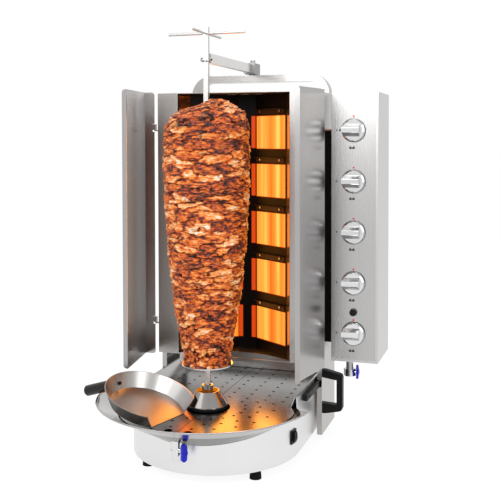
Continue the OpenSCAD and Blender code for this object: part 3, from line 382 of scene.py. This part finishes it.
# height and radius of the stack in millimetres, from its foot to its top
PROFILE = ((0, 62), (10, 61), (22, 60), (40, 64), (160, 86), (290, 99), (414, 108), (540, 110.5), (590, 109),
           (615, 104), (637, 92), (652, 70), (662, 40), (667, 20), (668, 7))
COURSE = 21.0
AROUND = 12
SPARE_COURSES = 10
# how far each kind of relief stands out of the profile or cuts into it, how far the whole is sunk, and the
# least radius round the spit, in millimetres
BULGE_MM = 6.0
DROOP_MM = 2.6
CLEFT_MM = 4.0
LUMP_MM = 4.0
RAG_MM = 2.2
STRAND_MM = 1.6
HOLE_MM = 3.0
SUNK_MM = 1.5
SPIT_CLEAR_MM = 7.5
# the heaped top starts at this height and leans to this side
CROWN_FROM = 560
CROWN_SIDE = math.radians(15)
CROWN_OUT_MM = 4
CROWN_UP_MM = 11
CROWN_SINK_MM = 3
TATTER_MM = 9
TATTER_LUMP_MM = 7
# what each layer adds to the tone, from 0 for dark crust to 1 for pale flesh; the palest end, pinkish white,
# is fat and partly a painted highlight
BASE_TONE = 0.36
CORE_TONE = 0.27
FAT_AND_HIGHLIGHT_TONE = 0.22
SLICE_TONE = 0.16
LUMP_TONE = 0.24
RAG_TONE = 0.24
STRAND_TONE = 0.34
EDGE_TONE = 0.20
# how black clefts, holes and scorched spots are; in clefts and holes the black is painted shade, on scorched
# spots it is char
CLEFT_SHADE = 0.95
HOLE_SHADE = 0.85
SCORCH_CHAR = 0.8


def field(seed, around, tall, u, s, nudge=0.0):
    """Smooth random values from 0 to 1 in cells, so many round the stack and each tall mm high."""
    p, q = u * around + nudge, s / tall
    grid = np.random.default_rng(seed).random((int(s.max() / tall) + 3, around))
    i, j = np.floor(p).astype(int), np.floor(q).astype(int)
    fp, fq = p - i, q - j
    fp, fq = fp * fp * (3 - 2 * fp), fq * fq * (3 - 2 * fq)
    low = grid[j, i % around] * (1 - fp) + grid[j, (i + 1) % around] * fp
    high = grid[j + 1, i % around] * (1 - fp) + grid[j + 1, (i + 1) % around] * fp
    return low * (1 - fq) + high * fq


def patches(seed, around, tall, u, s, gain, cut):
    """Spots of 1 with soft edges where a random field is high, and 0 elsewhere."""
    return np.clip(field(seed, around, tall, u, s) * gain - cut, 0, 1)


def slices(u, v, courses):
    """Distance to the nearest slice's centre, margin to the next slice, tone, bulge and height within the
    slice; u counts slices round the stack and v counts courses."""
    rng = np.random.default_rng(23)
    shift_u, shift_v = rng.random((2, courses, AROUND))
    tone, bulge = rng.random((2, courses, AROUND))
    best = np.full(u.shape, 9.0)
    second = best.copy()
    out_tone, out_bulge, out_rise = (np.zeros(u.shape) for _ in range(3))
    ui, vi = np.floor(u).astype(int), np.floor(v).astype(int)
    for dv in (-1, 0, 1):
        for du in (-2, -1, 0, 1, 2):
            row, col = np.clip(vi + dv, 0, courses - 1), (ui + du) % AROUND
            su = ui + du + 0.5 * (row % 2) + 0.15 + 0.7 * shift_u[row, col]
            sv = vi + dv + 0.15 + 0.7 * shift_v[row, col]
            d = (np.abs((u - su) * 0.75) ** 2.4 + np.abs((v - sv) * 1.1) ** 2.4) ** (1 / 2.4)
            nearer = d < best
            second = np.where(nearer, best, np.minimum(second, d))
            out_tone = np.where(nearer, tone[row, col], out_tone)
            out_bulge = np.where(nearer, bulge[row, col], out_bulge)
            out_rise = np.where(nearer, v - sv, out_rise)
            best = np.where(nearer, d, best)
    return best, second - best, out_tone, out_bulge, out_rise


def stack_grid(turns, rows):
    """Height, radius, angle and way up the profile at each point of the stack, in rows from foot to top."""
    path = np.array(PROFILE, float)
    length = np.concatenate([[0], np.cumsum(np.hypot(*np.diff(path, axis=0).T))])
    way = np.linspace(0, length[-1], rows)
    z = np.interp(way, length, path[:, 0])[:, None] * np.ones((1, turns))
    r = np.interp(way, length, path[:, 1])[:, None] * np.ones((1, turns))
    a = np.linspace(0, 2 * math.pi, turns, endpoint=False)[None, :] * np.ones((rows, 1))
    return z, r, a, way[:, None] * np.ones((1, turns))


def tube_faces(turns, rows):
    """Faces of a closed tube of rows of points, with a cap at either end."""
    faces = []
    for j in range(rows - 1):
        here, above = j * turns, (j + 1) * turns
        for i in range(turns):
            beside = (i + 1) % turns
            faces.append((here + i, here + beside, above + beside, above + i))
    faces.append(tuple(range(turns - 1, -1, -1)))
    faces.append(tuple((rows - 1) * turns + i for i in range(turns)))
    return faces


def build_meat():
    turns, rows = ((420, 760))
    z, r, a, s = stack_grid(turns, rows)
    u = a / (2 * math.pi)
    # slices sag and rise round the stack and their edges wander
    sag = 1.2 * field(1, 5, 58, u, s) + 0.55 * field(2, 24, 20, u, s) + 0.3 * field(3, 80, 6, u, s)
    drift = 0.8 * field(4, 9, 13, u, s) + 0.35 * field(5, 70, 6, u, s)
    courses = int(s.max() / COURSE) + SPARE_COURSES
    near, margin, tone, bulge, rise = slices(u * AROUND + drift, s / COURSE + sag, courses)
    # clefts open and close along the courses, and are thin
    cleft = np.exp(-(margin / 0.075) ** 2) * patches(6, 22, 15, u, s, 2.2, 0.55)
    lump = field(7, 46, 7.5, u, s)
    rag = field(8, 150, 2.3, u, s)
    strand = field(12, 60, 3.4, u, s, 0.5 * lump)
    hole = patches(9, 80, 6, u, s, 3.2, 2.35)
    out = BULGE_MM * (bulge - 0.5) * np.clip(margin / 0.4, 0, 1) - DROOP_MM * rise - CLEFT_MM * cleft
    out += LUMP_MM * (lump - 0.5) + RAG_MM * (rag - 0.5) + STRAND_MM * (strand - 0.5) - HOLE_MM * hole
    # the top is heaped up towards one side, with a ragged notch at the spit and a shoulder on the other side
    crown = np.clip((z - CROWN_FROM) / (ROAST_H - CROWN_FROM), 0, 1) ** 1.5
    lean = np.cos(a - CROWN_SIDE)
    tatter = field(13, 26, 13, u, s) - 0.5
    heap = CROWN_UP_MM * lean - CROWN_SINK_MM + TATTER_MM * tatter + TATTER_LUMP_MM * (lump - 0.5)
    rr = np.maximum(SPIT_CLEAR_MM, r + (out - SUNK_MM) * np.clip(r / 50, 0, 1) + CROWN_OUT_MM * crown * lean)
    zz = np.clip(z + crown * np.clip(r / 26, 0, 1) * heap, 0, ROAST_H)
    verts = np.stack([rr * np.cos(a), rr * np.sin(a), zz + ROAST_LOW[2]], axis=-1).reshape(-1, 3) * MM
    # about two slices in five have a pale core; strands and lumps break every tone up
    core = np.clip((0.62 - near) / 0.30, 0, 1) * np.clip((tone - 0.48) / 0.22, 0, 1)
    # pale fat patches, which also serve as painted highlights
    fat_and_highlight = patches(14, 26, 12, u, s, 3.0, 2.15)
    level = BASE_TONE + CORE_TONE * core + FAT_AND_HIGHLIGHT_TONE * fat_and_highlight + SLICE_TONE * (tone - 0.5)
    level += LUMP_TONE * (lump - 0.5) + RAG_TONE * (rag - 0.5) + STRAND_TONE * (strand - 0.5)
    level -= EDGE_TONE * np.exp(-(margin / 0.2) ** 2)
    scorch = patches(10, 15, 20, u, s, 2.4, 1.55) * np.clip(0.4 + 1.3 * (lump - 0.3), 0, 1)
    # clefts and holes are painted nearly black as shade; scorched spots are char
    darkened = CLEFT_SHADE * cleft + HOLE_SHADE * hole + SCORCH_CHAR * scorch * (1 - 0.8 * core)
    o = piece("roast_slices", verts, tube_faces(turns, rows), "spit", "roast_meat", smooth=True)
    for name, values in (("tone", level), ("char_and_shade", darkened)):
        layer = o.data.attributes.new(name, "FLOAT", "POINT")
        layer.data.foreach_set("value", np.clip(values, 0, 1).ravel())
    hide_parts("meat_stack")


build_meat()


def prism(outline, place, low, high):
    """Prism over an outline in millimetres, from height low to high; place maps its points into the frame."""
    n = len(outline)
    v = [place(p, q, h) for h in (low, high) for p, q in outline]
    f = [tuple(range(n - 1, -1, -1)), tuple(range(n, 2 * n))]
    return v, f + [(i, (i + 1) % n, n + (i + 1) % n, n + i) for i in range(n)]


def gather(name, shapes, body, slot, material=None):
    """One object from several small shapes."""
    verts, faces = [], []
    for v, f in shapes:
        base = len(verts)
        verts += [tuple(c * MM for c in p) for p in v]
        faces += [tuple(i + base for i in face) for face in f]
    return piece(name, verts, faces, body, slot, material)


def ring(r, n=20):
    """Points of a circle."""
    return [(r * math.cos(2 * math.pi * i / n), r * math.sin(2 * math.pi * i / n)) for i in range(n)]


def middle_of(name):
    """Middle of a node across and up, and half its height, in millimetres."""
    low, high = box_of(name)
    return (low[0] + high[0]) / 2, (low[2] + high[2]) / 2, (high[2] - low[2]) / 2


# Printed marks on the panel, placed from each knob's middle: red dot above, black dot beside, flames below
RED_INK = plain("printed_ink_red", "C8201A", 0.5, bump_mm=0.0)
BLACK_INK = plain("printed_ink_black", "16120F", 0.5, bump_mm=0.0)
PANEL_Y = box_of("control_panel")[0][1]
INK_LOW, INK_HIGH = -0.05, 0.25
RED_DOT_R, RED_DOT_UP = 2.6, 37
BLACK_DOT_R, BLACK_DOT_LEFT = 2.2, 46
LAST_KNOB = 5
COMMA_AT = (-38, 1)
FLAMES_DOWN = 46
FLAMES_ACROSS = (-8.6, -0.3)
FLAME = ((0, -4.2), (3.0, -4.0), (4.2, -2.6), (3.0, 0.2), (0.4, 4.4), (-0.3, 1.6), (-1.6, 2.0), (-3.2, -0.4),
         (-4.2, -2.8), (-2.8, -4.0))
COMMA = ((-1.2, -3.6), (2.6, -2.8), (3.2, 0.2), (1.8, 3.4), (-0.4, 3.0), (-0.6, 0.2), (-2.8, -1.0))


def panel_marks():
    red, black = [], []
    for k in range(1, LAST_KNOB + 1):
        x, z, _ = middle_of("knob_%d" % k)

        def mark(outline, dx, dz):
            return prism(outline, lambda p, q, h: (x + dx + p, PANEL_Y - h, z + dz + q), INK_LOW, INK_HIGH)
        red.append(mark(ring(RED_DOT_R), 0, RED_DOT_UP))
        black.append(mark(ring(BLACK_DOT_R), -BLACK_DOT_LEFT, 0))
        if k == LAST_KNOB:
            black.append(mark(COMMA, *COMMA_AT))
        black += [mark(FLAME, dx, -FLAMES_DOWN) for dx in FLAMES_ACROSS]
    gather("panel_dots", red, "tower", "panel_steel", RED_INK)
    gather("panel_flames", black, "tower", "panel_steel", BLACK_INK)


panel_marks()

# Burners: where the two columns turn away from the middle, in the tower's plan, and the plaques' rows
BURNER_A = math.radians(35)
BURNER_X, BURNER_Y = 27.0, 326.0
PLAQUE_H = 92.0
ROWS = 5
FIRST_ROW = box_of("plaques")[0][2]
ROW_STEP = (box_of("plaques")[1][2] - FIRST_ROW - PLAQUE_H) / (ROWS - 1)


def on_burner(side, row, along, up):
    """Maps a point of a burner's face, with h out of it, into the frame in millimetres."""
    def place(p, q, h):
        s, d = along + p, -h
        x = BURNER_X + s * math.cos(BURNER_A) + d * math.sin(BURNER_A)
        y = BURNER_Y - s * math.sin(BURNER_A) + d * math.cos(BURNER_A)
        return side * x, y, FIRST_ROW + row * ROW_STEP + up + q
    return place


# Screw heads in the shields over the plaques
SCREW_R = 3.2
SCREW_SIDES = 12
SCREWS_ALONG = (22, 110)
SCREW_OVER_PLAQUE = 13
SCREW_LOW, SCREW_HIGH = 1.4, 3.6


def burner_screws():
    heads = []
    for side in (-1, 1):
        for row in range(ROWS):
            for along in SCREWS_ALONG:
                place = on_burner(side, row, along, PLAQUE_H + SCREW_OVER_PLAQUE)
                heads.append(prism(ring(SCREW_R, SCREW_SIDES), place, SCREW_LOW, SCREW_HIGH))
    gather("hood_screws", heads, "tower", "hood_steel", MATERIALS["clamp_steel"])


burner_screws()

# Lip of each burner box beside its plaque, with a painted red glow
PAINTED_GLOW_EDGE = plain("burner_edge_painted_glow", "3A0C04", 0.6, vary=0.5, gloss=0.2, glow="D84409")
PAINTED_GLOW_ACROSS = (13.5, 25.5)
PAINTED_GLOW_FRONT, PAINTED_GLOW_BACK = 325.6, 326.3
PAINTED_GLOW_UP = 1
# Bare edge of the liner, which mirrors the meat as a bright orange line at the tower's sides; its orange
# colour is a painted reflection
BARE_EDGE = steel("liner_edge_painted_orange_reflection", "D8A27C", 0.16, along="z", spread=0.04)
BARE_EDGE_PLAN = ((142.9, 242.9), (161.6, 202.6), (161.2, 202.4), (142.5, 242.7))
BARE_EDGE_LOW, BARE_EDGE_HIGH = 232, 955


def block(low, high):
    """Box between two corners in millimetres."""
    plan = [(low[0], low[1]), (high[0], low[1]), (high[0], high[1]), (low[0], high[1])]
    return prism(plan, lambda p, q, h: (p, q, h), low[2], high[2])


def burner_edges():
    glow_strips, bare = [], []
    for side in (-1, 1):
        x0, x1 = sorted(side * x for x in PAINTED_GLOW_ACROSS)
        for row in range(ROWS):
            z = FIRST_ROW + row * ROW_STEP + PAINTED_GLOW_UP
            glow_strips.append(block((x0, PAINTED_GLOW_FRONT, z), (x1, PAINTED_GLOW_BACK, z + PLAQUE_H)))
        # the plan runs clockwise on the right, so it is taken in reverse there and the faces point outwards
        plan = [(side * p, q) for p, q in BARE_EDGE_PLAN][::-side]
        bare.append(prism(plan, lambda p, q, h: (p, q, h), BARE_EDGE_LOW, BARE_EDGE_HIGH))
    gather("burner_painted_glow_edges", glow_strips, "tower", "burner_body", PAINTED_GLOW_EDGE)
    gather("liner_bare_edges", bare, "tower", "liner_black", BARE_EDGE)


burner_edges()

# Painted burner light: an amber lining with a glow inside the open cone and the collar, where they catch the
# burners' light
PAINTED_BURNER_LIGHT = plain("cone_painted_burner_light", "F0A02C", 0.35, glow="B8640E")
LINING = 0.3
CUP_LOW_R, CUP_TOP_R, CUP_DEPTH, CUP_BELOW = 34.0, 27.6, 12, 0.4
COLLAR_LOW_R, COLLAR_TOP_R, COLLAR_DEPTH, COLLAR_BELOW = 10.0, 12.6, 3.6, 0.2


def funnel(r0, z0, r1, z1, n=48):
    """Open ring between two radii and heights in millimetres, as thick as the lining towards the axis."""
    v = [(r * math.cos(2 * math.pi * i / n), r * math.sin(2 * math.pi * i / n), z)
         for r, z in ((r0, z0), (r1, z1), (r1 - LINING, z1), (r0 - LINING, z0)) for i in range(n)]
    f = [(k * n + i, k * n + (i + 1) % n, (k + 1) % 4 * n + (i + 1) % n, (k + 1) % 4 * n + i)
         for k in range(4) for i in range(n)]
    return v, f


def cone_painted_light():
    top = box_of("drip_cone")[1][2]
    collar = box_of("drive_socket")[1][2]
    cup = funnel(CUP_LOW_R, top - CUP_DEPTH, CUP_TOP_R, top - CUP_BELOW)
    rim = funnel(COLLAR_LOW_R, collar - COLLAR_DEPTH, COLLAR_TOP_R, collar - COLLAR_BELOW)
    gather("cone_painted_light_linings", [cup, rim], "drive", "cone_steel", PAINTED_BURNER_LIGHT)


cone_painted_light()

# Painted shade ring round each knob's foot, black for the shaded edge of the chrome: how far it reaches out
# of and into the knob, and how far off the panel
SHADE_RING_OUT, SHADE_RING_IN = 0.2, 1.7
SHADE_RING_LOW, SHADE_RING_HIGH = 1.5, 4.4


def knob_shade_rings():
    """Each painted shade ring rides its own knob."""
    for k in range(1, LAST_KNOB + 1):
        x, z, r = middle_of("knob_%d" % k)
        foot = box_of("knob_%d" % k)[1][1]
        v, f = funnel(r + SHADE_RING_OUT, SHADE_RING_LOW, r - SHADE_RING_IN, SHADE_RING_HIGH)
        ring_verts = [(x + p, foot - q, z + h) for p, h, q in v]
        shade_ring = [(ring_verts, f)]
        gather("knob_%d_rim" % k, shade_ring, "knob_%d" % k, "knob_chrome", MATERIALS["button_plastic"])


knob_shade_rings()

# Studio: white floor and world as the camera and mirrors see them, a plain level of light, four softboxes
FLOOR_HALF = 30.0
FLOOR_GLOW = 1.08
# the rest of the floor's colour is its lit surface, which keeps the object's shadow
FLOOR_GLOW_SHARE = 0.82
WORLD_LEVEL = 0.7


def seen_directly(tree):
    """1 for rays from the camera and for those mirrored or passed on by the object."""
    ray = put(tree, "ShaderNodeLightPath").outputs
    seen = ray["Is Camera Ray"]
    for other in ("Is Glossy Ray", "Is Transmission Ray"):
        seen = put(tree, "ShaderNodeMath", links={0: seen, 1: ray[other]}, operation="MAXIMUM").outputs[0]
    return seen


def stage():
    e = FLOOR_HALF
    mesh = bpy.data.meshes.new("studio_floor")
    mesh.from_pydata([(-e, -e, 0), (e, -e, 0), (e, e, 0), (-e, e, 0)], [], [(0, 1, 2, 3)])
    m = bpy.data.materials.new("studio_floor_white")
    m.use_nodes = True
    t = m.node_tree
    t.nodes.clear()
    matt = put(t, "ShaderNodeBsdfDiffuse", {"Color": (1, 1, 1, 1)})
    white = put(t, "ShaderNodeEmission", {"Color": (1, 1, 1, 1), "Strength": FLOOR_GLOW})
    share = put(t, "ShaderNodeMath", {1: FLOOR_GLOW_SHARE}, {0: seen_directly(t)}, operation="MULTIPLY")
    mix = put(t, "ShaderNodeMixShader", links={0: share.outputs[0], 1: matt.outputs[0], 2: white.outputs[0]})
    put(t, "ShaderNodeOutputMaterial", links={"Surface": mix.outputs[0]})
    mesh.materials.append(m)
    floor = bpy.data.objects.new("studio_floor", mesh)
    bpy.context.collection.objects.link(floor)


def world():
    w = bpy.data.worlds.new("studio_world")
    bpy.context.scene.world = w
    w.use_nodes = True
    t = w.node_tree
    t.nodes.clear()
    white = put(t, "ShaderNodeBackground", {"Color": (1, 1, 1, 1), "Strength": 1.0})
    soft = put(t, "ShaderNodeBackground", {"Color": (1, 1, 1, 1), "Strength": WORLD_LEVEL})
    mix = put(t, "ShaderNodeMixShader", links={0: seen_directly(t), 1: soft.outputs[0], 2: white.outputs[0]})
    put(t, "ShaderNodeOutputWorld", links={"Surface": mix.outputs[0]})


def lamp(name, at, look_at, size, watts, colour=(1, 1, 1)):
    """Rectangular lamp that lights and is mirrored, but isn't seen itself."""
    data = bpy.data.lights.new(name, "AREA")
    data.shape = "RECTANGLE"
    data.size, data.size_y = size
    data.energy = watts
    data.color = colour
    o = bpy.data.objects.new(name, data)
    o.location = at
    o.rotation_euler = (Vector(look_at) - Vector(at)).to_track_quat("-Z", "Y").to_euler()
    o.visible_camera = False
    bpy.context.collection.objects.link(o)


stage()
world()
lamp("key_softbox", (-1.6, -1.8, 2.2), (0, 0.1, 0.5), (1.4, 1.4), 9)
lamp("front_softbox", (-0.15, -2.5, 1.7), (0.2, 0.1, 0.7), (1.3, 1.1), 30)
lamp("side_softbox", (2.2, -1.5, 1.3), (0, 0.1, 0.5), (1.0, 1.6), 20)
lamp("top_softbox", (0.1, 0.2, 2.8), (0, 0.1, 0.4), (1.6, 1.6), 16)
# warm glow that each column of burners throws on the meat, the plates and the wings
HEAT_COLOUR = (1, 0.36, 0.06)
for burner_side in (-1, 1):
    lamp("burner_heat", (burner_side * 0.072, 0.276, 0.58), (burner_side * 0.015, 0.194, 0.58),
         (0.11, 0.64), 1.3, HEAT_COLOUR)

bpy.context.scene.view_settings.view_transform = "Standard"
